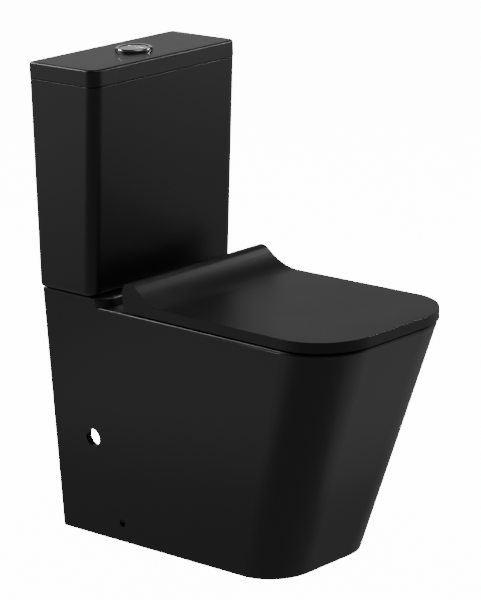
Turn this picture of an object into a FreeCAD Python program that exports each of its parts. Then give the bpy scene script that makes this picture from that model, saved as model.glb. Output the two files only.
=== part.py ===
"""Close coupled back-to-wall toilet: pan, cistern, lift-off cistern lid with a two-part flush button,
flush and fill valves, and a soft-close seat whose lid wraps over the ring.

Millimetres, +Z up. The floor is Z = 0, the wall is the plane Y = +overall_length / 2, and the toilet
faces -Y, so the origin is at the middle of the footprint on the floor."""

import FreeCAD, Part
import math
import os
import re

import Sketcher

Vector = FreeCAD.Vector
doc = FreeCAD.newDocument("toilet")

# ---------------------------------------------------------------------------------------------
# Driving dimensions. "from_wall" is a distance forward from the wall, "half" is half a width.
# ---------------------------------------------------------------------------------------------
SIZES = {
    "overall_length": 655.0,
    # pan
    "rim_height": 423.0,
    "pan_rear_half": 163.0,
    "pan_front_half": 168.0,
    "pan_length": 651.0,
    "pan_corner": 98.0,
    "foot_rear_half": 142.7,
    "foot_front_half": 128.5,
    "foot_length": 492.0,
    "foot_corner": 77.0,
    "pan_wall": 12.0,
    "deck_thickness": 18.0,
    "rim_round": 4.5,
    "platform_height": 439.0,
    "platform_depth": 150.0,
    "platform_slope": 6.0,
    "platform_corner": 28.0,
    "platform_round": 5.0,
    # bowl, each section as the middle's distance from the wall, half length, half width and corner
    "bowl_rim_middle": 452.0,
    "bowl_rim_half_length": 150.0,
    "bowl_rim_half_width": 116.0,
    "bowl_rim_corner": 84.0,
    "bowl_wall_depth": 48.0,
    "bowl_mid_height": 280.0,
    "bowl_mid_middle": 438.0,
    "bowl_mid_half_length": 116.0,
    "bowl_mid_half_width": 88.0,
    "bowl_mid_corner": 78.0,
    "sump_height": 170.0,
    "sump_middle": 362.0,
    "sump_half_length": 52.0,
    "sump_half_width": 46.0,
    "sump_corner": 42.0,
    "bowl_wall": 11.0,
    # trap and outlet
    "trap_bore": 32.0,
    "trap_wall": 9.0,
    "trap_bend": 44.0,
    "trap_end_of_dip": 262.0,
    "trap_weir_height": 226.0,
    "trap_start_from_wall": 358.0,
    "trap_start_height": 182.0,
    "trap_dip_height": 80.0,
    "trap_weir_from_wall": 192.0,
    "outlet_height": 180.0,
    "outlet_from_wall": 40.0,
    "spigot_outer": 51.0,
    "spigot_bore": 42.0,
    "spigot_length": 50.0,
    # flush inlet
    "duct_half_width": 34.0,
    "duct_height": 34.0,
    "duct_wall": 9.0,
    "flush_from_wall": 54.0,
    "flush_hole": 36.0,
    "flush_recess": 49.0,
    "flush_recess_depth": 14.0,
    "backnut": 40.0,
    # holes in the pan
    "side_hole": 16.0,
    "side_hole_from_wall": 92.0,
    "side_hole_height": 182.0,
    "fixing_hole": 6.5,
    "fixing_hole_from_wall": 145.0,
    "fixing_hole_height": 34.5,
    "inlet_opening": 20.0,
    # cistern
    "cistern_half": 172.0,
    "cistern_depth_top": 157.5,
    "cistern_depth_bottom": 129.0,
    "cistern_top": 801.0,
    "cistern_gap": 1.5,
    "cistern_wall": 10.0,
    "cistern_floor": 14.0,
    "cistern_corner": 20.0,
    "cistern_foot_round": 7.0,
    "cistern_lip_round": 1.5,
    # cistern lid
    "lid_gap": 0.3,
    "lid_height": 28.5,
    "lid_overhang": 0.6,
    "lid_top_round": 4.5,
    "lid_foot_round": 1.5,
    "lid_roof": 12.0,
    "lid_rim_width": 13.0,
    # close coupling
    "coupling_half_spacing": 82.0,
    "coupling_bolt": 4.0,
    "coupling_hole": 6.0,
    # flush button
    "button_from_wall": 79.0,
    "bezel_outer": 32.0,
    "bezel_height": 6.0,
    "button_radius": 24.5,
    "button_fit": 0.5,
    "collar_wall": 2.5,
    "button_split": 6.0,
    "button_split_gap": 0.8,
    "button_thick": 8.0,
    "rod_radius": 2.5,
    "rod_x": 17.0,
    "rod_from_wall": 87.0,
    # flush valve
    "valve_tail": 31.0,
    "valve_tail_bore": 27.0,
    "valve_flange": 42.0,
    "valve_flange_thick": 4.5,
    "tower_top": 560.0,
    "tube_radius": 12.0,
    "tube_top": 668.0,
    "lever_height": 640.0,
    "lever_reach": 16.5,
    "lever_thick": 5.0,
    "lever_width": 8.0,
    "lever_pin": 2.0,
    "lever_play": 1.0,
    # fill valve
    "fill_x": 122.0,
    "fill_from_wall": 62.0,
    "fill_tail": 10.4,
    "fill_tail_length": 42.0,
    "riser_radius": 9.0,
    "riser_top": 640.0,
    "float_outer": 24.0,
    "float_height": 62.0,
    "float_bottom": 545.0,
    # seat
    "axis_from_wall": 213.0,
    "axis_height": 452.0,
    "seat_rear_half": 162.0,
    "seat_front_half": 168.0,
    "seat_corner": 100.0,
    "lid_rear": 191.5,
    "wave_foot": 258.5,
    "wave_slope": 0.83,
    "wave_foot_radius": 97.0,
    "barrel_top_radius": 19.5,
    "barrel_bottom_radius": 22.0,
    "lid_edge": 1.2,
    "lid_lip_from_wall": 217.0,
    "lid_top_height": 443.5,
    "lid_skirt_bottom": 425.5,
    "lid_plate": 3.5,
    "lid_skirt": 3.5,
    "ring_bottom": 427.0,
    "ring_thickness": 11.0,
    "ring_rear": 243.0,
    "ring_edge_round": 3.0,
    "ring_hole_round": 4.5,
    "ring_gap": 2.0,
    "ring_hole_middle": 452.0,
    "ring_hole_half_length": 138.0,
    "ring_hole_half_width": 104.0,
    "ring_hole_corner": 80.0,
    "hinge_half_spacing": 77.5,
    "hinge_hole": 7.0,
    "hinge_bolt": 3.9,
    "post_half": 9.5,
    "post_flange": 20.0,
    "knuckle_radius": 12.0,
    "knuckle_length": 22.0,
    "arm_end": 252.0,
    "pin_radius": 4.0,
    "pin_fit": 0.05,
    "side_play": 0.6,
    "buffer_radius": 8.0,
}

sheet = doc.addObject("Spreadsheet::Sheet", "Sizes")
for row, (alias, value) in enumerate(SIZES.items(), start=1):
    sheet.set(f"A{row}", alias.replace("_", " "))
    sheet.set(f"B{row}", repr(value))
    sheet.setAlias(f"B{row}", alias)
doc.recompute()


def size(alias):
    """The value that the sheet holds."""
    return float(sheet.get(alias))


ALIAS = re.compile(r"\b(" + "|".join(sorted(SIZES, key=len, reverse=True)) + r")\b")


def cells(expression):
    """An expression over plain aliases, written the way the document's expressions need it."""
    return ALIAS.sub(r"Sizes.\1", str(expression))


def bind(thing, prop, expression):
    thing.setExpression(prop, cells(expression))


# ---------------------------------------------------------------------------------------------
# Building blocks
# ---------------------------------------------------------------------------------------------
ALONG = {
    "z": FreeCAD.Rotation(),
    "-z": FreeCAD.Rotation(Vector(1, 0, 0), 180),
    "x": FreeCAD.Rotation(Vector(0, 1, 0), 90),
    "-x": FreeCAD.Rotation(Vector(0, 1, 0), -90),
    "y": FreeCAD.Rotation(Vector(1, 0, 0), -90),
    "-y": FreeCAD.Rotation(Vector(1, 0, 0), 90),
}


def from_wall(distance):
    """Y of a place that far forward of the wall."""
    return f"(overall_length / 2 - ({distance}))"


def place(thing, at, along="z"):
    thing.Placement = FreeCAD.Placement(Vector(), ALONG[along])
    for axis, expression in zip("xyz", at):
        bind(thing, f"Placement.Base.{axis}", expression)
    return thing


def primitive(kind, label, at, along="z", **sizes):
    thing = doc.addObject(kind, label)
    thing.Label = label
    for prop, expression in sizes.items():
        bind(thing, prop, expression)
    return place(thing, at, along)


def box(label, length, width, height, at):
    return primitive("Part::Box", label, at, Length=length, Width=width, Height=height)


def cylinder(label, radius, height, at, along="z"):
    return primitive("Part::Cylinder", label, at, along, Radius=radius, Height=height)


def fuse(label, *pieces):
    thing = doc.addObject("Part::MultiFuse", label)
    thing.Label = label
    thing.Shapes = list(pieces)
    thing.Refine = True
    return thing


def common(label, *pieces):
    thing = doc.addObject("Part::MultiCommon", label)
    thing.Label = label
    thing.Shapes = list(pieces)
    return thing


def cut(label, base, *tools):
    thing = doc.addObject("Part::Cut", label)
    thing.Label = label
    thing.Base = base
    thing.Tool = tools[0] if len(tools) == 1 else fuse(label + "_tools", *tools)
    thing.Refine = True
    return thing


def group(label, *pieces):
    """Several like solids that share one node."""
    thing = doc.addObject("Part::Compound", label)
    thing.Label = label
    thing.Links = list(pieces)
    return thing


def fillet(label, base, picks):
    """Rounds edges. picks is a list of (test of an edge, radius at its start, radius at its end)."""
    doc.recompute()
    chosen = []
    for number, edge in enumerate(base.Shape.Edges, start=1):
        for test, start, end in picks:
            if test(edge):
                chosen.append((number, start, end))
                break
    thing = doc.addObject("Part::Fillet", label)
    thing.Label = label
    thing.Base = base
    thing.Edges = chosen
    return thing


def level(height, tolerance=0.05):
    """Test for an edge that lies at one height."""
    return lambda edge: (
        abs(edge.BoundBox.ZMin - height) < tolerance and abs(edge.BoundBox.ZMax - height) < tolerance
    )


def upright(edge):
    """Test for an edge that runs from a lower to a higher height, near enough upright."""
    box_of = edge.BoundBox
    return box_of.ZLength > 3 * max(box_of.XLength, box_of.YLength)


def fix_point(sketch, line, end, corner, value):
    """Ties one end of a line to its place. A coordinate of "0" puts it on the sketch's own axis."""
    for kind, axis, expression, number_now in zip(("DistanceX", "DistanceY"), (-2, -1), corner, value):
        if expression == "0":
            sketch.addConstraint(Sketcher.Constraint("PointOnObject", line, end, axis))
        else:
            number = sketch.addConstraint(Sketcher.Constraint(kind, -1, 1, line, end, number_now))
            sketch.setExpression(f"Constraints[{number}]", cells(expression))


def corner_values(points):
    """The corners' numbers, worked out by the document from their expressions."""
    scratch = doc.addObject("App::FeaturePython", "scratch")
    names = []
    for row_number, point in enumerate(points):
        names.append([f"value_{row_number}_{column}" for column in range(len(point))])
        for name, expression in zip(names[-1], point):
            scratch.addProperty("App::PropertyFloat", name)
            scratch.setExpression(name, cells(expression))
    scratch.recompute()
    values = [[getattr(scratch, name) for name in row_names] for row_names in names]
    doc.removeObject(scratch.Name)
    return values


# Plan sketches measure across and forward from the wall; side sketches forward from the wall and up.
PLAN = FreeCAD.Rotation(Vector(0, 0, 1), 180)
SIDE = FreeCAD.Rotation(Vector(0, -1, 0), Vector(0, 0, 1), Vector(-1, 0, 0), "ZXY")


def outline(label, corners, height="0", plane=PLAN, closed=True):
    """A sketch of straight lines through corners, each (across, up, rounding radius or None)."""
    sketch = doc.addObject("Sketcher::SketchObject", label)
    sketch.Placement = FreeCAD.Placement(Vector(), plane)
    bind(sketch, "Placement.Base.y", "overall_length / 2")
    bind(sketch, "Placement.Base.z", height)
    rounded = [(across, up, radius or "0") for across, up, radius in corners]
    values = corner_values(rounded)
    count = len(corners)
    spots = [Vector(value[0], value[1], 0) for value in values]
    starts, ends, arcs = list(spots), list(spots), {}
    for number, (across, up, radius) in enumerate(corners):
        if radius is None:
            continue
        spot = spots[number]
        back = (spots[number - 1] - spot).normalize()
        ahead = (spots[(number + 1) % count] - spot).normalize()
        half_angle = back.getAngle(ahead) / 2
        reach = values[number][2] / math.tan(half_angle)
        ends[number] = spot + back * reach
        starts[number] = spot + ahead * reach
        centre = spot + (back + ahead).normalize() * (values[number][2] / math.sin(half_angle))
        middle = centre + (spot - centre).normalize() * values[number][2]
        left_turn = back.cross(ahead).z < 0
        arc = Part.Arc(ends[number], middle, starts[number])
        arcs[number] = (sketch.addGeometry(arc, False), left_turn)
    lines = []
    for number in range(count if closed else count - 1):
        following = (number + 1) % count
        lines.append(sketch.addGeometry(Part.LineSegment(starts[number], ends[following]), False))
    for number, (across, up, radius) in enumerate(corners):
        last = number == count - 1
        before = lines[number - 1] if closed or number > 0 else None
        behind = lines[number] if closed or not last else None
        if radius is None:
            if before is not None and behind is not None:
                sketch.addConstraint(Sketcher.Constraint("Coincident", before, 2, behind, 1))
            if behind is not None:
                fix_point(sketch, behind, 1, (across, up), values[number])
            else:
                fix_point(sketch, before, 2, (across, up), values[number])
            continue
        arc, left_turn = arcs[number]
        first, second = (1, 2) if left_turn else (2, 1)
        sketch.addConstraint(Sketcher.Constraint("Tangent", before, 2, arc, first))
        sketch.addConstraint(Sketcher.Constraint("Tangent", arc, second, behind, 1))
        turn = sketch.addConstraint(Sketcher.Constraint("Radius", arc, values[number][2]))
        sketch.setExpression(f"Constraints[{turn}]", cells(radius))
        point = sketch.addGeometry(Part.Point(spots[number]), True)
        sketch.addConstraint(Sketcher.Constraint("PointOnObject", point, 1, before))
        sketch.addConstraint(Sketcher.Constraint("PointOnObject", point, 1, behind))
        fix_point(sketch, point, 1, (across, up), values[number])
    return sketch


def ring_of(middle, half_length, half_width, corner, grow="0"):
    """Corners of a rounded rectangle centred across, at a middle's distance from the wall."""
    near = f"{middle} - {half_length} - ({grow})"
    far = f"{middle} + {half_length} + ({grow})"
    side = f"{half_width} + ({grow})"
    radius = f"{corner} + ({grow})"
    return [
        (side, near, radius),
        (side, far, radius),
        (f"-({side})", far, radius),
        (f"-({side})", near, radius),
    ]


def tapered(rear_half, front_half, near, far, front_corner, rear_corner=None):
    """Corners of a plan that widens or narrows evenly from the wall side to the front."""
    return [
        (rear_half, near, rear_corner),
        (front_half, far, front_corner),
        (f"-({front_half})", far, front_corner),
        (f"-({rear_half})", near, rear_corner),
    ]


def loft(label, *sections, ruled=True):
    thing = doc.addObject("Part::Loft", label)
    thing.Label = label
    thing.Sections = list(sections)
    thing.Solid = True
    thing.Ruled = ruled
    return thing


def extrude(label, sketch, length, both_ways=False):
    thing = doc.addObject("Part::Extrusion", label)
    thing.Label = label
    thing.Base = sketch
    thing.DirMode = "Normal"
    thing.Solid = True
    bind(thing, "LengthFwd", length)
    if both_ways:
        bind(thing, "LengthRev", length)
    return thing


def pipe(label, section, spine):
    thing = doc.addObject("Part::Sweep", label)
    thing.Label = label
    thing.Sections = [section]
    doc.recompute()
    thing.Spine = (spine, [f"Edge{number}" for number in range(1, len(spine.Shape.Edges) + 1)])
    thing.Solid = True
    thing.Frenet = False
    return thing


def disc(label, radius, at):
    """A flat circle, the section of a pipe."""
    return primitive("Part::Circle", label, at, Radius=radius)


def tube(label, outer, inner, height, at, along="z"):
    return cut(
        label,
        cylinder(label + "_outside", outer, height, at, along),
        cylinder(label + "_inside", inner, height, at, along),
    )


def prism(label, radius, height, at):
    thing = primitive("Part::Prism", label, at, Circumradius=radius, Height=height)
    thing.Polygon = 6
    return thing


def both_sides(label, make):
    """One piece on each side, as separate solids of one node."""
    return group(label, make(label + "_right", "1"), make(label + "_left", "-1"))


# ---------------------------------------------------------------------------------------------
# Pan: a skirted shell that is open to the floor and the wall, with the bowl, trap and duct inside
# ---------------------------------------------------------------------------------------------
def rising(foot, rim, height):
    """A plan size at a height, on the straight line from the floor's outline to the rim's."""
    return f"({foot} + ({rim} - {foot}) * {height} / rim_height)"


def shell_plan(height, inset, rear):
    return tapered(
        rising("foot_rear_half", "pan_rear_half", height) + f" - {inset}",
        rising("foot_front_half", "pan_front_half", height) + f" - {inset}",
        rear,
        rising("foot_length", "pan_length", height) + f" - {inset}",
        rising("foot_corner", "pan_corner", height) + f" - {inset}",
    )


pan_block = loft(
    "pan_block",
    outline("foot_plan", shell_plan("0", "0", "0")),
    outline("top_plan", shell_plan("platform_height", "0", "0"), "platform_height"),
)
above_rim = box(
    "above_rim", "4 * pan_front_half", "2 * overall_length", "rim_height",
    ("-2 * pan_front_half", "-overall_length", "rim_height"),
)
pan_under_rim = cut("pan_under_rim", pan_block, above_rim)
rim_level = level(size("rim_height"))
wall_y = size("overall_length") / 2


def on_wall(edge):
    return edge.BoundBox.YMin > wall_y - 0.1


rim_rounded = fillet(
    "rim_rounded",
    pan_under_rim,
    [(lambda edge: rim_level(edge) and not on_wall(edge), size("rim_round"), size("rim_round"))],
)

platform_side = rising("foot_rear_half", "pan_rear_half", "platform_height")
platform_front = (
    "(" + platform_side + " + ("
    + rising("foot_front_half", "pan_front_half", "platform_height") + " - " + platform_side
    + ") * platform_depth / pan_length + 0.3)"
)
platform_prism = loft(
    "platform_prism",
    outline(
        "platform_foot_plan",
        tapered(
            platform_front, platform_front, "0", "platform_depth + platform_slope",
            "platform_corner + platform_slope",
        ),
        "rim_height - 13",
    ),
    outline(
        "platform_top_plan",
        tapered(
            platform_front, platform_front, "0", "platform_depth - platform_slope / 2", "platform_corner",
        ),
        "platform_height",
    ),
)
platform_block = common("platform_block", pan_block, platform_prism)
platform_level = level(size("platform_height"))
platform = fillet(
    "platform",
    platform_block,
    [
        (
            lambda edge: platform_level(edge) and not on_wall(edge),
            size("platform_round"),
            size("platform_round"),
        )
    ],
)

void_block = loft(
    "void_block",
    outline("void_foot_plan", shell_plan("0", "pan_wall", "-5")),
    outline("void_top_plan", shell_plan("rim_height", "pan_wall", "-5"), "rim_height"),
)
deck_zone = box(
    "deck_zone", "4 * pan_front_half", "2 * overall_length", "rim_height",
    ("-2 * pan_front_half", "-overall_length", "rim_height - deck_thickness"),
)
pan_void = cut("pan_void", void_block, deck_zone)


def bowl_sections(name, grow, top, bottom):
    """The bowl's plans from the rim down, grown outward by its wall for the outside."""
    rim = ring_of("bowl_rim_middle", "bowl_rim_half_length", "bowl_rim_half_width", "bowl_rim_corner", grow)
    mid = ring_of("bowl_mid_middle", "bowl_mid_half_length", "bowl_mid_half_width", "bowl_mid_corner", grow)
    sump = ring_of("sump_middle", "sump_half_length", "sump_half_width", "sump_corner", grow)
    return [
        outline(name + "_rim_plan", rim, top),
        outline(name + "_wall_plan", rim, "rim_height - bowl_wall_depth"),
        outline(name + "_mid_plan", mid, "bowl_mid_height"),
        outline(name + "_sump_plan", sump, bottom),
    ]


bowl_outside = loft(
    "bowl_outside", *bowl_sections(
        "outside", "bowl_wall", "rim_height - deck_thickness / 2", "sump_height - bowl_wall",
    )
)
bowl_inside = loft("bowl_inside", *bowl_sections("inside", "0", "rim_height + 2", "sump_height"))

trap_route = outline(
    "trap_route",
    [
        ("trap_start_from_wall", "trap_start_height", None),
        ("trap_start_from_wall", "trap_dip_height", "trap_bend"),
        ("trap_end_of_dip", "trap_dip_height", "trap_bend"),
        ("trap_weir_from_wall", "trap_weir_height", "trap_bend"),
        ("spigot_length + outlet_from_wall + 25", "outlet_height", "trap_bend"),
        ("outlet_from_wall + 5", "outlet_height", None),
    ],
    plane=SIDE,
    closed=False,
)
trap_place = ("0", from_wall("trap_start_from_wall"), "trap_start_height")
trap_outside = pipe(
    "trap_outside", disc("trap_outside_section", "trap_bore + trap_wall", trap_place), trap_route,
)
trap_inside = pipe("trap_inside", disc("trap_inside_section", "trap_bore", trap_place), trap_route)
spigot_place = ("0", from_wall("outlet_from_wall + spigot_length"), "outlet_height")
spigot = cylinder("spigot", "spigot_outer", "spigot_length", spigot_place, "y")
spigot_inside = cylinder(
    "spigot_inside",
    "spigot_bore",
    "spigot_length - 8",
    ("0", from_wall("outlet_from_wall + spigot_length - 8"), "outlet_height"),
    "y",
)

duct_bottom = "rim_height - deck_thickness - duct_height"
duct_front = "bowl_rim_middle - bowl_rim_half_length"
duct = box(
    "duct", "2 * (duct_half_width + duct_wall)", f"{duct_front} - 8", "duct_height + duct_wall + 2",
    ("-(duct_half_width + duct_wall)", from_wall(duct_front), f"{duct_bottom} - duct_wall"),
)
duct_inside = box(
    "duct_inside", "2 * duct_half_width", f"{duct_front} + 5 - 16", "duct_height",
    ("-duct_half_width", from_wall(f"{duct_front} + 5"), duct_bottom),
)
flush_place = ("0", from_wall("flush_from_wall"), "rim_height - deck_thickness - 10")
flush_way = cylinder("flush_way", "flush_hole", "platform_height", flush_place)
flush_recess_cut = cylinder(
    "flush_recess_cut", "flush_recess", "platform_height",
    ("0", from_wall("flush_from_wall"), "platform_height - flush_recess_depth"),
)
side_hole_cut = cylinder(
    "side_hole_cut", "side_hole", "4 * pan_rear_half",
    ("-2 * pan_rear_half", from_wall("side_hole_from_wall"), "side_hole_height"), "x",
)
fixing_hole_cut = cylinder(
    "fixing_hole_cut", "fixing_hole", "4 * pan_rear_half",
    ("-2 * pan_rear_half", from_wall("fixing_hole_from_wall"), "fixing_hole_height"), "x",
)
through_deck = "rim_height - deck_thickness - 1"


def deck_hole(label, radius, across, forward):
    return cylinder(label, radius, "platform_height", (across, from_wall(forward), through_deck))


pan = cut(
    "pan", fuse("pan_outside", rim_rounded, platform), pan_void, bowl_inside,
    flush_way, flush_recess_cut, side_hole_cut, fixing_hole_cut,
    deck_hole("coupling_hole_right", "coupling_hole", "coupling_half_spacing", "flush_from_wall"),
    deck_hole("coupling_hole_left", "coupling_hole", "-coupling_half_spacing", "flush_from_wall"),
    deck_hole("hinge_hole_right", "hinge_hole", "hinge_half_spacing", "axis_from_wall"),
    deck_hole("hinge_hole_left", "hinge_hole", "-hinge_half_spacing", "axis_from_wall"),
    deck_hole("fill_opening", "inlet_opening", "fill_x", "fill_from_wall"),
)

# The rest of the casting meets the skirt and deck, and each other, face to face.
pan_bowl = cut("pan_bowl", bowl_outside, deck_zone, bowl_inside, trap_inside, duct_inside)
pan_trap = cut("pan_trap", trap_outside, bowl_outside, spigot, trap_inside)
pan_spigot = cut("pan_spigot", spigot, spigot_inside, trap_inside)
pan_duct = cut("pan_duct", duct, deck_zone, bowl_outside, trap_outside, duct_inside)

# ---------------------------------------------------------------------------------------------
# Cistern: a box that leans back towards its foot, open at the top
# ---------------------------------------------------------------------------------------------
cistern_foot = "platform_height + cistern_gap"


def cistern_plan(depth, inset):
    side = f"cistern_half - {inset}"
    return tapered(
        side, side, inset, f"{depth} - {inset}", f"cistern_corner - {inset} / 2", f"8 - {inset} / 4",
    )


cistern_block = loft(
    "cistern_block",
    outline("cistern_foot_plan", cistern_plan("cistern_depth_bottom", "0"), cistern_foot),
    outline("cistern_top_plan", cistern_plan("cistern_depth_top", "0"), "cistern_top"),
)
foot_level = level(size("platform_height") + size("cistern_gap"))
lip_level = level(size("cistern_top"))
cistern_rounded = fillet(
    "cistern_rounded",
    cistern_block,
    [
        (foot_level, size("cistern_foot_round"), size("cistern_foot_round")),
        (lip_level, size("cistern_lip_round"), size("cistern_lip_round")),
    ],
)
cistern_inside = loft(
    "cistern_inside",
    outline(
        "inside_foot_plan",
        cistern_plan("cistern_depth_bottom", "cistern_wall"),
        cistern_foot + " + cistern_floor",
    ),
    outline("inside_top_plan", cistern_plan("cistern_depth_top", "cistern_wall"), "cistern_top + 1"),
)


def floor_hole(label, radius, across, forward):
    return cylinder(
        label, radius, "cistern_floor + 20", (across, from_wall(forward), cistern_foot + " - 10"),
    )


cistern = cut(
    "cistern", cistern_rounded, cistern_inside,
    floor_hole("cistern_flush_hole", "valve_tail + 1.5", "0", "flush_from_wall"),
    floor_hole("cistern_bolt_hole_right", "coupling_hole", "coupling_half_spacing", "flush_from_wall"),
    floor_hole("cistern_bolt_hole_left", "coupling_hole", "-coupling_half_spacing", "flush_from_wall"),
    floor_hole("cistern_fill_hole", "fill_tail + 1.6", "fill_x", "fill_from_wall"),
)
inside_floor = "platform_height + cistern_gap + cistern_floor"

# ---------------------------------------------------------------------------------------------
# Close coupling: gasket, and bolts with rubber washers above and washers and wing nuts below
# ---------------------------------------------------------------------------------------------
gasket_foot = "platform_height - flush_recess_depth"
doughnut_gasket = tube(
    "doughnut_gasket", "flush_recess - 1", "backnut + 1.5", "flush_recess_depth + cistern_gap",
    ("0", from_wall("flush_from_wall"), gasket_foot),
)


def coupling(side, height):
    return (f"{side} * coupling_half_spacing", from_wall("flush_from_wall"), height)


under_deck = "rim_height - deck_thickness"
bolt_hole = "coupling_bolt + 0.05"
coupling_seals = both_sides(
    "coupling_seals",
    lambda label, side: tube(label, "14", bolt_hole, "6", coupling(side, inside_floor)),
)
coupling_bolts = both_sides(
    "coupling_bolts",
    lambda label, side: fuse(
        label,
        prism(label + "_head", "8.5", "5.5", coupling(side, inside_floor + " + 6")),
        cylinder(
            label + "_shank",
            "coupling_bolt",
            f"{inside_floor} + 8 - ({under_deck}) + 28",
            coupling(side, under_deck + " - 28"),
        ),
    ),
)
coupling_washers = both_sides(
    "coupling_washers",
    lambda label, side: tube(label, "12.5", bolt_hole, "2.5", coupling(side, under_deck + " - 2.5")),
)


def wing_nut(label, bore, at, across):
    """A round nut with a wing on each side."""
    here = at(across)
    barrel = cylinder(label + "_barrel", "8", "10", here)
    wings = box(
        label + "_wings", "40", "3", "13", (f"({here[0]}) - 20", f"({here[1]}) - 1.5", f"({here[2]}) - 5"),
    )
    return cut(
        label,
        fuse(label + "_whole", barrel, wings),
        cylinder(label + "_bore", bore, "30", (here[0], here[1], f"({here[2]}) - 10")),
    )


coupling_nuts = both_sides(
    "coupling_nuts",
    lambda label, side: wing_nut(
        label, bolt_hole, lambda across: coupling(across, under_deck + " - 12.5"), side,
    ),
)

# ---------------------------------------------------------------------------------------------
# Flush valve
# ---------------------------------------------------------------------------------------------
def flush(height, across="0", forward="flush_from_wall"):
    return (across, from_wall(forward), height)


seal_foot = f"({inside_floor} + 2 + valve_flange_thick)"
flush_base_washer = tube("flush_base_washer", "valve_flange", "valve_tail + 0.3", "2", flush(inside_floor))
tail_foot = "platform_height - flush_recess_depth - 8"
flush_valve_base = cut(
    "flush_valve_base",
    fuse(
        "flush_valve_base_whole",
        cylinder("flush_tail", "valve_tail", f"{inside_floor} + 3 - ({tail_foot})", flush(tail_foot)),
        cylinder("flush_flange", "valve_flange", "valve_flange_thick", flush(inside_floor + " + 2")),
    ),
    cylinder("flush_bore", "valve_tail_bore", "80", flush(tail_foot + " - 1")),
)
flush_backnut = cut(
    "flush_backnut",
    prism("flush_backnut_hex", "backnut", "10", flush(cistern_foot + " - 10")),
    cylinder("flush_backnut_bore", "valve_tail + 0.05", "20", flush(cistern_foot + " - 15")),
)
flush_seal = tube("flush_seal", "30", "tube_radius + 0.05", "4", flush(seal_foot))
arm_foot = "lever_height + lever_thick / 2 + 0.5"
overflow_tube = cut(
    "overflow_tube",
    fuse(
        "overflow_tube_whole",
        cylinder(
            "overflow_outside",
            "tube_radius",
            f"tube_top - ({inside_floor}) + 8",
            flush(inside_floor + " - 8"),
        ),
        cylinder("overflow_collar", "26", "4", flush(seal_foot + " + 4")),
        box("overflow_arm", "22", "5", "5", ("-22", from_wall("flush_from_wall + 2.5"), arm_foot)),
    ),
    cylinder("overflow_bore", "tube_radius - 2", "tube_top", flush(inside_floor + " - 9")),
)

pivot_from_wall = "flush_from_wall + lever_reach"
window_foot = seal_foot + " + 14"
tower_windows = [
    box("tower_window_across", "120", "36", "60", ("-60", from_wall("flush_from_wall + 18"), window_foot)),
    box("tower_window_along", "36", "120", "60", ("-18", from_wall("flush_from_wall + 60"), window_foot)),
]
brackets = []
BRACKET_OFFSETS = {
    "inner": "rod_x - lever_width / 2 - 3.1",
    "outer": "rod_x + lever_width / 2 + 0.6",
}
for name, near in BRACKET_OFFSETS.items():
    for side_name, across in (("right", near), ("left", f"-({near}) - 2.5")):
        brackets.append(
            box(
                f"bracket_{name}_{side_name}", "2.5", "12", "lever_height + 6 - tower_top",
                (across, from_wall(pivot_from_wall + " + 6"), "tower_top - 1"),
            )
        )
flush_valve_tower = cut(
    "flush_valve_tower",
    fuse(
        "tower_whole",
        cylinder("tower_outside", "valve_flange - 1", f"tower_top - {seal_foot}", flush(seal_foot)),
        *brackets,
    ),
    cylinder("tower_inside", "valve_flange - 4", f"tower_top - {seal_foot} - 4", flush(seal_foot)),
    cylinder("tower_guide", "tube_radius + 0.4", "100", flush("tower_top - 20")),
    cylinder(
        "tower_pin_hole",
        "lever_pin + 0.05",
        "60",
        ("-30", from_wall(pivot_from_wall), "lever_height"),
        "x",
    ),
    *tower_windows,
)
lever_pin = cylinder(
    "lever_pin", "lever_pin", "50", ("-25", from_wall(pivot_from_wall), "lever_height"), "x",
)


def lever(label, side):
    """A rocker that a push rod presses at the front, so that its rear end lifts the overflow tube."""
    across = f"{side} * rod_x - lever_width / 2"
    bar = box(
        label + "_bar", "lever_width", "2 * lever_reach + 6", "lever_thick",
        (across, from_wall(pivot_from_wall + " + lever_reach + 3"), "lever_height - lever_thick / 2"),
    )
    boss = cylinder(
        label + "_boss", "4.5", "lever_width", (across, from_wall(pivot_from_wall), "lever_height"), "x",
    )
    bore = cylinder(
        label + "_bore",
        "lever_pin + 0.05",
        "lever_width + 2",
        (across + " - 1", from_wall(pivot_from_wall), "lever_height"),
        "x",
    )
    return cut(label, fuse(label + "_whole", bar, boss), bore)


lever_full = lever("lever_full", "-1")
lever_half = lever("lever_half", "1")

# ---------------------------------------------------------------------------------------------
# Fill valve with a float that rides on its riser
# ---------------------------------------------------------------------------------------------
def fill(height):
    return ("fill_x", from_wall("fill_from_wall"), height)


fill_tail_foot = f"({cistern_foot} - fill_tail_length)"
fill_valve_riser = cut(
    "fill_valve_riser",
    fuse(
        "riser_whole",
        cylinder("riser_tail", "fill_tail", f"{inside_floor} + 3 - {fill_tail_foot}", fill(fill_tail_foot)),
        cylinder("riser_flange", "17", "4", fill(inside_floor + " + 2")),
        cylinder(
            "riser_pipe", "riser_radius", f"riser_top - ({inside_floor}) - 2", fill(inside_floor + " + 2"),
        ),
    ),
    cylinder("riser_bore", "5", "riser_top", fill(fill_tail_foot + " - 1")),
)
fill_washer = tube("fill_washer", "17", "fill_tail + 0.05", "2", fill(inside_floor))
fill_backnut = cut(
    "fill_backnut",
    prism("fill_backnut_hex", "17.5", "8", fill(cistern_foot + " - 8")),
    cylinder("fill_backnut_bore", "fill_tail + 0.05", "20", fill(cistern_foot + " - 12")),
)
fill_valve_head = fuse(
    "fill_valve_head",
    cylinder("head_body", "16", "20", fill("riser_top")),
    cylinder("head_cap", "18", "8", fill("riser_top + 20")),
)
float_link = "(fill_x - float_outer + 4)"
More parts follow.
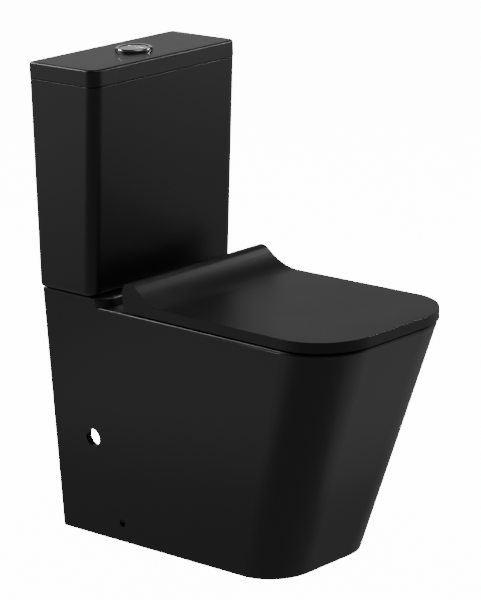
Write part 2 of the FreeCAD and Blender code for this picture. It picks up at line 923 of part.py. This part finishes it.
fill_valve_float = cut(
    "fill_valve_float",
    fuse(
        "float_whole",
        cylinder("float_outside", "float_outer", "float_height", fill("float_bottom")),
        cylinder(
            "float_rod",
            "2",
            "riser_top + 14 - float_bottom - 20",
            (float_link, from_wall("fill_from_wall"), "float_bottom + 20"),
        ),
    ),
    cylinder("float_bore", "riser_radius + 0.6", "float_height + 10", fill("float_bottom - 5")),
)

# ---------------------------------------------------------------------------------------------
# Cistern lid and flush button
# ---------------------------------------------------------------------------------------------
lid_foot = "(cistern_top + lid_gap)"


def lid_plan(inset, corner):
    """The cistern lid's plan, or one that far inside it."""
    side = f"cistern_half + lid_overhang - ({inset})"
    return tapered(
        side, side, inset, f"cistern_depth_top + lid_overhang - ({inset})", corner, f"{corner} - 12",
    )


lid_block = extrude(
    "lid_block", outline("lid_outer_plan", lid_plan("0", "cistern_corner"), lid_foot), "lid_height",
)
lid_bottom_level = level(size("cistern_top") + size("lid_gap"))
lid_top_level = level(size("cistern_top") + size("lid_gap") + size("lid_height"))
lid_rounded = fillet(
    "lid_rounded",
    lid_block,
    [
        (lid_top_level, size("lid_top_round"), size("lid_top_round")),
        (lid_bottom_level, size("lid_foot_round"), size("lid_foot_round")),
    ],
)
lid_hollow = extrude(
    "lid_hollow",
    outline("lid_hollow_plan", lid_plan("lid_rim_width", "cistern_corner - 4"), lid_foot + " - 1"),
    "lid_height - lid_roof + 1",
)
rib_outside = extrude(
    "rib_outside",
    outline("rib_outer_plan", lid_plan("cistern_wall + 2.5", "cistern_corner - 5"), lid_foot + " - 9"),
    "14",
)
rib_inside = extrude(
    "rib_inside",
    outline("rib_inner_plan", lid_plan("cistern_wall + 8.5", "cistern_corner - 7"), lid_foot + " - 10"),
    "lid_height - lid_roof + 10",
)


def button_at(height):
    return ("0", from_wall("button_from_wall"), height)


collar_radius = "button_radius + button_fit + collar_wall"
cistern_lid = cut(
    "cistern_lid",
    fuse(
        "lid_with_rib", cut("lid_shell", lid_rounded, lid_hollow), cut("lid_rib", rib_outside, rib_inside),
    ),
    cylinder("lid_button_hole", collar_radius + " + 0.3", "100", button_at(lid_foot)),
)
lid_top = "(cistern_top + lid_gap + lid_height)"
lid_roof_foot = f"({lid_top} - lid_roof)"
collar_foot = f"({lid_roof_foot} - 22)"
button_bezel = cut(
    "button_bezel",
    fuse(
        "bezel_whole",
        fillet(
            "bezel_flange",
            cylinder("bezel_disc", "bezel_outer", "bezel_height", button_at(lid_top)),
            [
                (
                    level(
                        size("cistern_top") + size("lid_gap") + size("lid_height") + size("bezel_height")
                    ),
                    3.0,
                    3.0,
                )
            ],
        ),
        cylinder("bezel_collar", collar_radius, f"{lid_top} - {collar_foot} + 1", button_at(collar_foot)),
    ),
    cylinder("bezel_bore", "button_radius + button_fit", "100", button_at(f"{collar_foot} + 3")),
    cylinder(
        "rod_hole_right",
        "rod_radius + 0.7",
        "20",
        ("rod_x", from_wall("rod_from_wall"), f"{collar_foot} - 5"),
    ),
    cylinder(
        "rod_hole_left",
        "rod_radius + 0.7",
        "20",
        ("-rod_x", from_wall("rod_from_wall"), f"{collar_foot} - 5"),
    ),
)
button_lock_nut = cut(
    "button_lock_nut",
    prism("lock_nut_hex", "37", "9", button_at(f"{lid_roof_foot} - 9")),
    cylinder("lock_nut_bore", collar_radius + " + 0.05", "30", button_at(f"{lid_roof_foot} - 20")),
)
button_top = f"({lid_top} + bezel_height - 1)"


def button(label, across, width):
    """One part of the split round button."""
    slab = box(
        label + "_slab",
        width,
        "4 * button_radius",
        "button_thick",
        (across, from_wall("button_from_wall + 2 * button_radius"), f"{button_top} - button_thick"),
    )
    piece = common(
        label + "_half",
        cylinder(
            label + "_disc", "button_radius", "button_thick", button_at(f"{button_top} - button_thick"),
        ),
        slab,
    )
    top = level(size("cistern_top") + size("lid_gap") + size("lid_height") + size("bezel_height") - 1)
    return fillet(label, piece, [(top, 1.0, 1.0)])


button_full = button(
    "button_full", "-2 * button_radius", "2 * button_radius + button_split - button_split_gap / 2",
)
button_half = button("button_half", "button_split + button_split_gap / 2", "2 * button_radius")


def push_rod(label, side):
    foot = "(lever_height + lever_thick / 2 + lever_play)"
    return cylinder(
        label,
        "rod_radius",
        f"{button_top} - button_thick - {foot}",
        (f"{side} * rod_x", from_wall("rod_from_wall"), foot),
    )


push_rod_full = push_rod("push_rod_full", "-1")
push_rod_half = push_rod("push_rod_half", "1")

# ---------------------------------------------------------------------------------------------
# Seat lid: wraps down over the ring, with a rounded barrel along its rear edge
# ---------------------------------------------------------------------------------------------
slope_top = "lid_top_height + (wave_foot - lid_rear) * wave_slope"
lid_side_outer = outline(
    "lid_side_outer",
    [
        ("overall_length", "lid_skirt_bottom", None),
        ("overall_length", "lid_top_height", "lid_edge"),
        ("wave_foot", "lid_top_height", "wave_foot_radius"),
        ("lid_rear", slope_top, "barrel_top_radius"),
        ("lid_rear", "lid_skirt_bottom", "barrel_bottom_radius"),
    ],
    plane=SIDE,
)
inner_rear = "(lid_rear + lid_skirt)"
inner_foot = "(wave_foot - 0.361 * lid_plate)"
inner_top = "(lid_top_height - lid_plate)"
lid_side_inner = outline(
    "lid_side_inner",
    [
        ("overall_length - lid_skirt", "lid_skirt_bottom - 20", None),
        ("overall_length - lid_skirt", inner_top, None),
        (inner_foot, inner_top, "wave_foot_radius + lid_plate"),
        (
            inner_rear,
            f"{inner_top} + ({inner_foot} - {inner_rear}) * wave_slope",
            "barrel_top_radius - lid_plate",
        ),
        (inner_rear, "lid_skirt_bottom + lid_skirt", "barrel_bottom_radius - lid_skirt"),
        ("lid_lip_from_wall", "lid_skirt_bottom + lid_skirt", None),
        ("lid_lip_from_wall", "lid_skirt_bottom - 20", None),
    ],
    plane=SIDE,
)


def seat_plan(inset, rear):
    """The seat's plan, or one that far inside it, from a rear edge forward."""
    return tapered(
        f"seat_rear_half - {inset}", f"seat_front_half - {inset}", rear, f"overall_length - {inset}",
        f"seat_corner - {inset}",
    )


def tall(label, corners, bottom="lid_skirt_bottom - 30", height="100"):
    return extrude(label, outline(label + "_plan", corners, bottom), height)


lid_outside = common(
    "lid_outside",
    extrude("lid_side_slab", lid_side_outer, "2 * seat_front_half", both_ways=True),
    tall("lid_plan_slab", seat_plan("0", "lid_rear - 1")),
)
lid_inside = common(
    "lid_inside",
    extrude("lid_inner_side_slab", lid_side_inner, "2 * seat_front_half", both_ways=True),
    tall("lid_inner_plan_slab", seat_plan("lid_skirt", "lid_rear - 2")),
)


def hinge(side, offset):
    """Across position at a hinge, offset outward from its middle."""
    return f"{side} * hinge_half_spacing + ({offset})"


AXIS = (from_wall("axis_from_wall"), "axis_height")


def across_box(label, side, near, far, back, front, low, high):
    """A box between two offsets outward from a hinge, two distances from the wall and two heights."""
    start = hinge(side, near if side == "1" else f"-({far})")
    return box(
        label,
        f"({far}) - ({near})",
        f"({front}) - ({back})",
        f"({high}) - ({low})",
        (start, from_wall(front), low),
    )


def across_rod(label, side, near, far, radius):
    start = hinge(side, near if side == "1" else f"-({far})")
    return cylinder(label, radius, f"({far}) - ({near})", (start, *AXIS), "x")


knuckle_near = "post_half + side_play"
knuckle_far = "post_half + side_play + knuckle_length"
notches, lid_knuckles, ring_knuckles, pin_bores = [], [], [], []
for side_name, side in (("right", "1"), ("left", "-1")):
    notches.append(
        across_box(
            f"lid_notch_{side_name}", side, f"-({knuckle_far}) - 3", f"{knuckle_far} + 3",
            "lid_rear - 5", "axis_from_wall + 12", "lid_skirt_bottom - 5", "axis_height + 14.5",
        )
    )
    lid_knuckles.append(
        across_rod(f"lid_knuckle_{side_name}", side, knuckle_near, knuckle_far, "knuckle_radius")
    )
    lid_knuckles.append(
        across_box(
            f"lid_web_{side_name}", side, knuckle_near, knuckle_far,
            "axis_from_wall - 9", "axis_from_wall + 9", "axis_height", "axis_height + 22",
        )
    )
    ring_knuckles.append(
        across_rod(
            f"ring_knuckle_{side_name}", side, f"-({knuckle_far})", f"-({knuckle_near})", "knuckle_radius",
        )
    )
    ring_knuckles.append(
        across_box(
            f"ring_arm_{side_name}", side, f"-({knuckle_far})", f"-({knuckle_near})",
            "axis_from_wall", "arm_end", "ring_bottom + 3", "ring_bottom + ring_thickness + 4",
        )
    )
pin_bore = cylinder(
    "pin_bore", "pin_radius + pin_fit", "4 * hinge_half_spacing", ("-2 * hinge_half_spacing", *AXIS), "x",
)
seat_lid = cut("seat_lid", lid_outside, lid_inside, *notches)
lid_eyes = cut(
    "lid_eyes",
    common("lid_eyes_inside", fuse("lid_eye_stock", *lid_knuckles), lid_inside),
    pin_bore,
)

# ---------------------------------------------------------------------------------------------
# Seat ring, buffers and hinges
# ---------------------------------------------------------------------------------------------
ring_top = "ring_bottom + ring_thickness"
ring_plate = cut(
    "ring_plate",
    extrude(
        "ring_slab",
        outline("ring_plan", seat_plan("(lid_skirt + ring_gap)", "ring_rear"), "ring_bottom"),
        "ring_thickness",
    ),
    extrude(
        "ring_opening",
        outline(
            "ring_opening_plan",
            ring_of(
                "ring_hole_middle", "ring_hole_half_length", "ring_hole_half_width", "ring_hole_corner",
            ),
            "ring_bottom - 1",
        ),
        "ring_thickness + 2",
    ),
)
ring_top_level = level(size("ring_bottom") + size("ring_thickness"))
hole_half = size("ring_hole_half_width") + 1


def inner_edge(edge):
    """Test for the ring's upper edges round its opening."""
    bounds = edge.BoundBox
    in_width = max(abs(bounds.XMin), abs(bounds.XMax)) < hole_half
    behind_front = bounds.YMin > wall_y - size("ring_hole_middle") - size("ring_hole_half_length") - 1
    before_rear = bounds.YMin < wall_y - size("ring_rear") - 1
    return ring_top_level(edge) and in_width and behind_front and before_rear


ring_rounded = fillet(
    "ring_rounded",
    ring_plate,
    [
        (inner_edge, size("ring_hole_round"), size("ring_hole_round")),
        (ring_top_level, size("ring_edge_round"), size("ring_edge_round")),
    ],
)
seat_ring = cut("seat_ring", fuse("seat_ring_whole", ring_rounded, *ring_knuckles), pin_bore)

BUFFERS = (
    ("front", "seat_front_half - 30", "overall_length - 110"),
    ("rear", "seat_rear_half - 28", "ring_rear + 60"),
)


def buffers(label, radius, height, low):
    """Round pads near the front and the rear, on both sides."""
    pads = []
    for place_name, across, forward in BUFFERS:
        for side_name, sign in (("right", ""), ("left", "-")):
            pads.append(
                cylinder(
                    f"{label}_{place_name}_{side_name}",
                    radius,
                    height,
                    (f"{sign}({across})", from_wall(forward), low),
                )
            )
    return group(label, *pads)


ring_buffers = buffers("ring_buffers", "buffer_radius", "ring_bottom - rim_height", "rim_height")
lid_buffers = buffers("lid_buffers", "buffer_radius - 2", f"{inner_top} - ({ring_top})", ring_top)


def hinge_post(label, side):
    flange = cylinder(label + "_flange", "post_flange", "4", (hinge(side, "0"), AXIS[0], "rim_height"))
    neck = across_box(
        label + "_neck", side, "-post_half", "post_half",
        "axis_from_wall - post_half", "axis_from_wall + post_half", "rim_height", "axis_height",
    )
    eye = across_rod(label + "_eye", side, "-post_half", "post_half", "knuckle_radius")
    socket = cylinder(
        label + "_socket", "hinge_bolt + 0.05", "14", (hinge(side, "0"), AXIS[0], "rim_height"),
    )
    return cut(label, fuse(label + "_whole", flange, neck, eye), socket, pin_bore)


hinge_posts = both_sides("hinge_posts", hinge_post)
hinge_pins = both_sides(
    "hinge_pins", lambda label, side: across_rod(
        label, side, f"-({knuckle_far})", knuckle_far, "pin_radius",
    )
)


def under_hinge(side, height):
    return (hinge(side, "0"), AXIS[0], height)


hinge_bolts = both_sides(
    "hinge_bolts",
    lambda label, side: cylinder(
        label, "hinge_bolt", "deck_thickness + 14 + 30", under_hinge(side, under_deck + " - 30"),
    ),
)
hinge_washers = both_sides(
    "hinge_washers",
    lambda label, side: tube(label, "13", "hinge_bolt + 0.05", "3", under_hinge(side, under_deck + " - 3")),
)
hinge_nuts = both_sides(
    "hinge_nuts",
    lambda label, side: wing_nut(
        label, "hinge_bolt + 0.05", lambda across: under_hinge(across, under_deck + " - 13"), side,
    ),
)

# ---------------------------------------------------------------------------------------------
# Check every object, then write one file for each node
# ---------------------------------------------------------------------------------------------
NODES = [
    pan, pan_bowl, pan_trap, pan_spigot, pan_duct, cistern, doughnut_gasket,
    coupling_seals, coupling_bolts, coupling_washers, coupling_nuts,
    flush_base_washer, flush_valve_base, flush_backnut, flush_seal, overflow_tube, flush_valve_tower,
    lever_pin, lever_full, lever_half, fill_valve_riser, fill_washer, fill_backnut, fill_valve_head,
    fill_valve_float, cistern_lid, button_bezel, button_lock_nut, button_full, button_half,
    push_rod_full, push_rod_half, seat_lid, lid_eyes, seat_ring, ring_buffers, lid_buffers, hinge_posts,
    hinge_pins, hinge_bolts, hinge_washers, hinge_nuts,
]
doc.recompute()
failed = [thing.Label for thing in doc.Objects if "Invalid" in thing.State or "Error" in thing.State]
if failed:
    raise RuntimeError(f"objects failed: {failed}")
os.makedirs("parts", exist_ok=True)
for node in NODES:
    shape = node.Shape
    if shape.isNull() or not shape.isValid() or not shape.Solids:
        raise RuntimeError(f"{node.Label} has no valid shape")
    shape.exportStep(f"parts/{node.Label}.step")
    bounds = shape.BoundBox
    print(
        f"{node.Label:18s} solids {len(shape.Solids)} volume {shape.Volume / 1000:9.1f} cm3 "
        f"x {bounds.XMin:7.1f} {bounds.XMax:7.1f} y {bounds.YMin:7.1f} {bounds.YMax:7.1f} "
        f"z {bounds.ZMin:6.1f} {bounds.ZMax:6.1f}"
    )
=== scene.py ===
"""Close coupled toilet in satin black: materials, studio and camera."""

import math

import bmesh
import bpy
from mathutils import Matrix, Vector

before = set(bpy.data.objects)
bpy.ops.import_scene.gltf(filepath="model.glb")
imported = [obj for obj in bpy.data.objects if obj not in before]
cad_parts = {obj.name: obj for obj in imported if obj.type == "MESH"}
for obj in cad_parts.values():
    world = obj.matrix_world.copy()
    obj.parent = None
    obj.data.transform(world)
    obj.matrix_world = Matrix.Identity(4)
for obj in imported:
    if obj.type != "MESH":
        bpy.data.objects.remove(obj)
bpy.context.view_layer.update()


# --------------------------------------------------------------------------- materials
def principled(name, base, roughness, **sockets):
    material = bpy.data.materials.new(name)
    material.use_nodes = True
    shader = material.node_tree.nodes["Principled BSDF"]
    shader.inputs["Base Color"].default_value = (*base, 1)
    shader.inputs["Roughness"].default_value = roughness
    for socket, value in sockets.items():
        shader.inputs[socket.replace("_", " ")].default_value = value
    return material


DRIFT_SCALE = 7  # of the slow change in gloss over a piece


def grain(material, scale, strength, distance, rough_low, rough_high):
    """Fine unevenness of the surface and a slow drift of its gloss."""
    nodes, links = material.node_tree.nodes, material.node_tree.links
    shader = nodes["Principled BSDF"]
    place = nodes.new("ShaderNodeTexCoord")
    fine = nodes.new("ShaderNodeTexNoise")
    fine.inputs["Scale"].default_value = scale
    fine.inputs["Detail"].default_value = 3
    bump = nodes.new("ShaderNodeBump")
    bump.inputs["Strength"].default_value = strength
    bump.inputs["Distance"].default_value = distance
    slow = nodes.new("ShaderNodeTexNoise")
    slow.inputs["Scale"].default_value = DRIFT_SCALE
    spread = nodes.new("ShaderNodeMapRange")
    spread.inputs["To Min"].default_value = rough_low
    spread.inputs["To Max"].default_value = rough_high
    links.new(place.outputs["Object"], fine.inputs["Vector"])
    links.new(place.outputs["Object"], slow.inputs["Vector"])
    links.new(fine.outputs["Fac"], bump.inputs["Height"])
    links.new(bump.outputs["Normal"], shader.inputs["Normal"])
    links.new(slow.outputs["Fac"], spread.inputs["Value"])
    links.new(spread.outputs["Result"], shader.inputs["Roughness"])
    return material


# grain takes: scale, bump strength, bump distance in metres, lowest and highest roughness
glaze = grain(
    principled("satin_black_glaze", (0.006, 0.006, 0.0062), 0.34, Specular_IOR_Level=0.4),
    900, 0.05, 0.0002, 0.33, 0.39,
)
seat_black = grain(
    principled("satin_black_seat", (0.005, 0.005, 0.0052), 0.38, Specular_IOR_Level=0.35),
    1400, 0.06, 0.0002, 0.38, 0.44,
)
# Chrome with its brightness lowered: painted shade standing in for the dark surroundings that
# the button reflects.
chrome = grain(
    principled("chrome_with_painted_shade", (0.34, 0.345, 0.355), 0.12, Metallic=1.0),
    700, 0.02, 0.0001, 0.1, 0.15,
)
rubber = grain(principled("black_rubber", (0.02, 0.02, 0.02), 0.7), 1200, 0.2, 0.0002, 0.65, 0.8)
steel = grain(
    principled("zinc_plated_steel", (0.56, 0.56, 0.55), 0.32, Metallic=1.0),
    1500, 0.08, 0.0001, 0.28, 0.4,
)
white_plastic = grain(
    principled("white_plastic", (0.78, 0.79, 0.78), 0.4), 1200, 0.06, 0.0001, 0.36, 0.46
)
grey_plastic = grain(
    principled("grey_plastic", (0.32, 0.34, 0.36), 0.42), 1200, 0.06, 0.0001, 0.38, 0.46
)
blue_plastic = grain(
    principled("blue_plastic", (0.05, 0.16, 0.42), 0.4), 1200, 0.06, 0.0001, 0.36, 0.44
)

FINISHES = {
    glaze: ["pan", "pan_bowl", "pan_trap", "pan_spigot", "pan_duct", "cistern", "cistern_lid"],
    seat_black: ["seat_lid", "lid_eyes", "seat_ring"],
    chrome: ["button_bezel", "button_full", "button_half", "hinge_posts"],
    rubber: [
        "doughnut_gasket", "coupling_seals", "flush_base_washer", "flush_seal", "fill_washer",
        "ring_buffers", "lid_buffers",
    ],
    steel: [
        "coupling_bolts", "coupling_washers", "coupling_nuts",
        "hinge_bolts", "hinge_washers", "hinge_nuts", "hinge_pins", "lever_pin",
    ],
    white_plastic: [
        "flush_valve_base", "flush_valve_tower", "flush_backnut",
        "fill_valve_riser", "fill_valve_head", "fill_backnut", "button_lock_nut",
    ],
    grey_plastic: ["overflow_tube", "fill_valve_float", "push_rod_full", "push_rod_half"],
    blue_plastic: ["lever_full", "lever_half"],
}
for material, names in FINISHES.items():
    for name in names:
        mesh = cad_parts[name].data
        mesh.materials.clear()
        mesh.materials.append(material)

# --------------------------------------------------------------------------- studio
FLOOR_HALF_SIDE = 30
WHITE = (1, 1, 1, 1)


def area(name, place, target, width, height, watts):
    light = bpy.data.lights.new(name, "AREA")
    light.shape = "RECTANGLE"
    light.size, light.size_y = width, height
    light.energy = watts
    lamp = bpy.data.objects.new(name, light)
    bpy.context.scene.collection.objects.link(lamp)
    lamp.location = place
    lamp.rotation_mode = "QUATERNION"
    lamp.rotation_quaternion = (Vector(target) - Vector(place)).to_track_quat("-Z", "Y")
    lamp.visible_camera = False
    return lamp


def floor_plane(name, height, material):
    mesh = bpy.data.meshes.new(name)
    shape = bmesh.new()
    bmesh.ops.create_grid(shape, x_segments=1, y_segments=1, size=FLOOR_HALF_SIDE)
    shape.to_mesh(mesh)
    shape.free()
    mesh.materials.append(material)
    plane = bpy.data.objects.new(name, mesh)
    plane.location.z = height
    bpy.context.scene.collection.objects.link(plane)
    return plane


# The pale floor is what is seen; the dim one just under it is what lights and reflects.
pale = principled(
    "pale_floor", (0.9, 0.9, 0.9), 0.9, Emission_Color=WHITE, Emission_Strength=14
)
dim = principled(
    "dim_floor", (0, 0, 0), 1.0,
    Emission_Color=WHITE, Emission_Strength=0.3, Specular_IOR_Level=0,
)
bright_floor = floor_plane("floor", -0.0005, pale)
bright_floor.visible_glossy = False
bright_floor.visible_diffuse = False
dim_floor = floor_plane("floor_reflected", -0.001, dim)

world = bpy.data.worlds.new("studio")
bpy.context.scene.world = world
world.use_nodes = True
background = world.node_tree.nodes["Background"]
background.inputs["Color"].default_value = WHITE
background.inputs["Strength"].default_value = 0.08

# name, place, point it faces, width, height, watts
area("left_soft", (-1.6, 1.7, 0.75), (-0.2, 0.1, 0.4), 1.6, 1.4, 4)
area("right_soft", (1.7, -1.4, 0.5), (0, -0.2, 0.2), 1.8, 0.95, 4.2)
area("back_soft", (2.2, 2.4, 1.3), (0, 0, 0.6), 2.2, 1.6, 5.5)
area("top_soft", (0.1, -0.8, 2.6), (0, 0, 0.4), 1.4, 1.4, 10)
area("edge_left", (-0.8, 2.0, 2.1), (-0.1, 0.2, 0.7), 1.4, 0.1, 34)
area("edge_right", (2.1, -0.8, 2.0), (0.1, 0, 0.6), 1.4, 0.1, 34)
area("glow_right", (0.5, -0.75, 0.005), (0.5, -0.75, 1), 1.0, 0.9, 0.7)
area("glow_left", (-0.75, 0.45, 0.005), (-0.75, 0.45, 1), 0.6, 0.9, 0.5)

# --------------------------------------------------------------------------- camera
TARGET = Vector((0, 0.0275, 0.4))
DISTANCE = 4.76906
AZIMUTH = math.radians(-46.34)
ELEVATION = math.radians(15.65)
ROLL = math.radians(-1.93)
SLIDE_RIGHT, SLIDE_UP = 0.0053, 0.0264
back = Vector((
    math.sin(AZIMUTH) * math.cos(ELEVATION),
    -math.cos(AZIMUTH) * math.cos(ELEVATION),
    math.sin(ELEVATION),
))
level_right = Vector((math.cos(AZIMUTH), math.sin(AZIMUTH), 0))
level_up = back.cross(level_right)
right = level_right * math.cos(ROLL) + level_up * math.sin(ROLL)
up = level_up * math.cos(ROLL) - level_right * math.sin(ROLL)
camera = bpy.data.objects.new("camera", bpy.data.cameras.new("camera"))
bpy.context.scene.collection.objects.link(camera)
camera.data.lens = 170.19
camera.data.sensor_width = 36
camera.data.clip_end = 100
turn = Matrix((right, up, back)).transposed().to_4x4()
place = TARGET + back * DISTANCE + right * SLIDE_RIGHT + up * SLIDE_UP
camera.matrix_world = Matrix.Translation(place) @ turn
bpy.context.scene.camera = camera
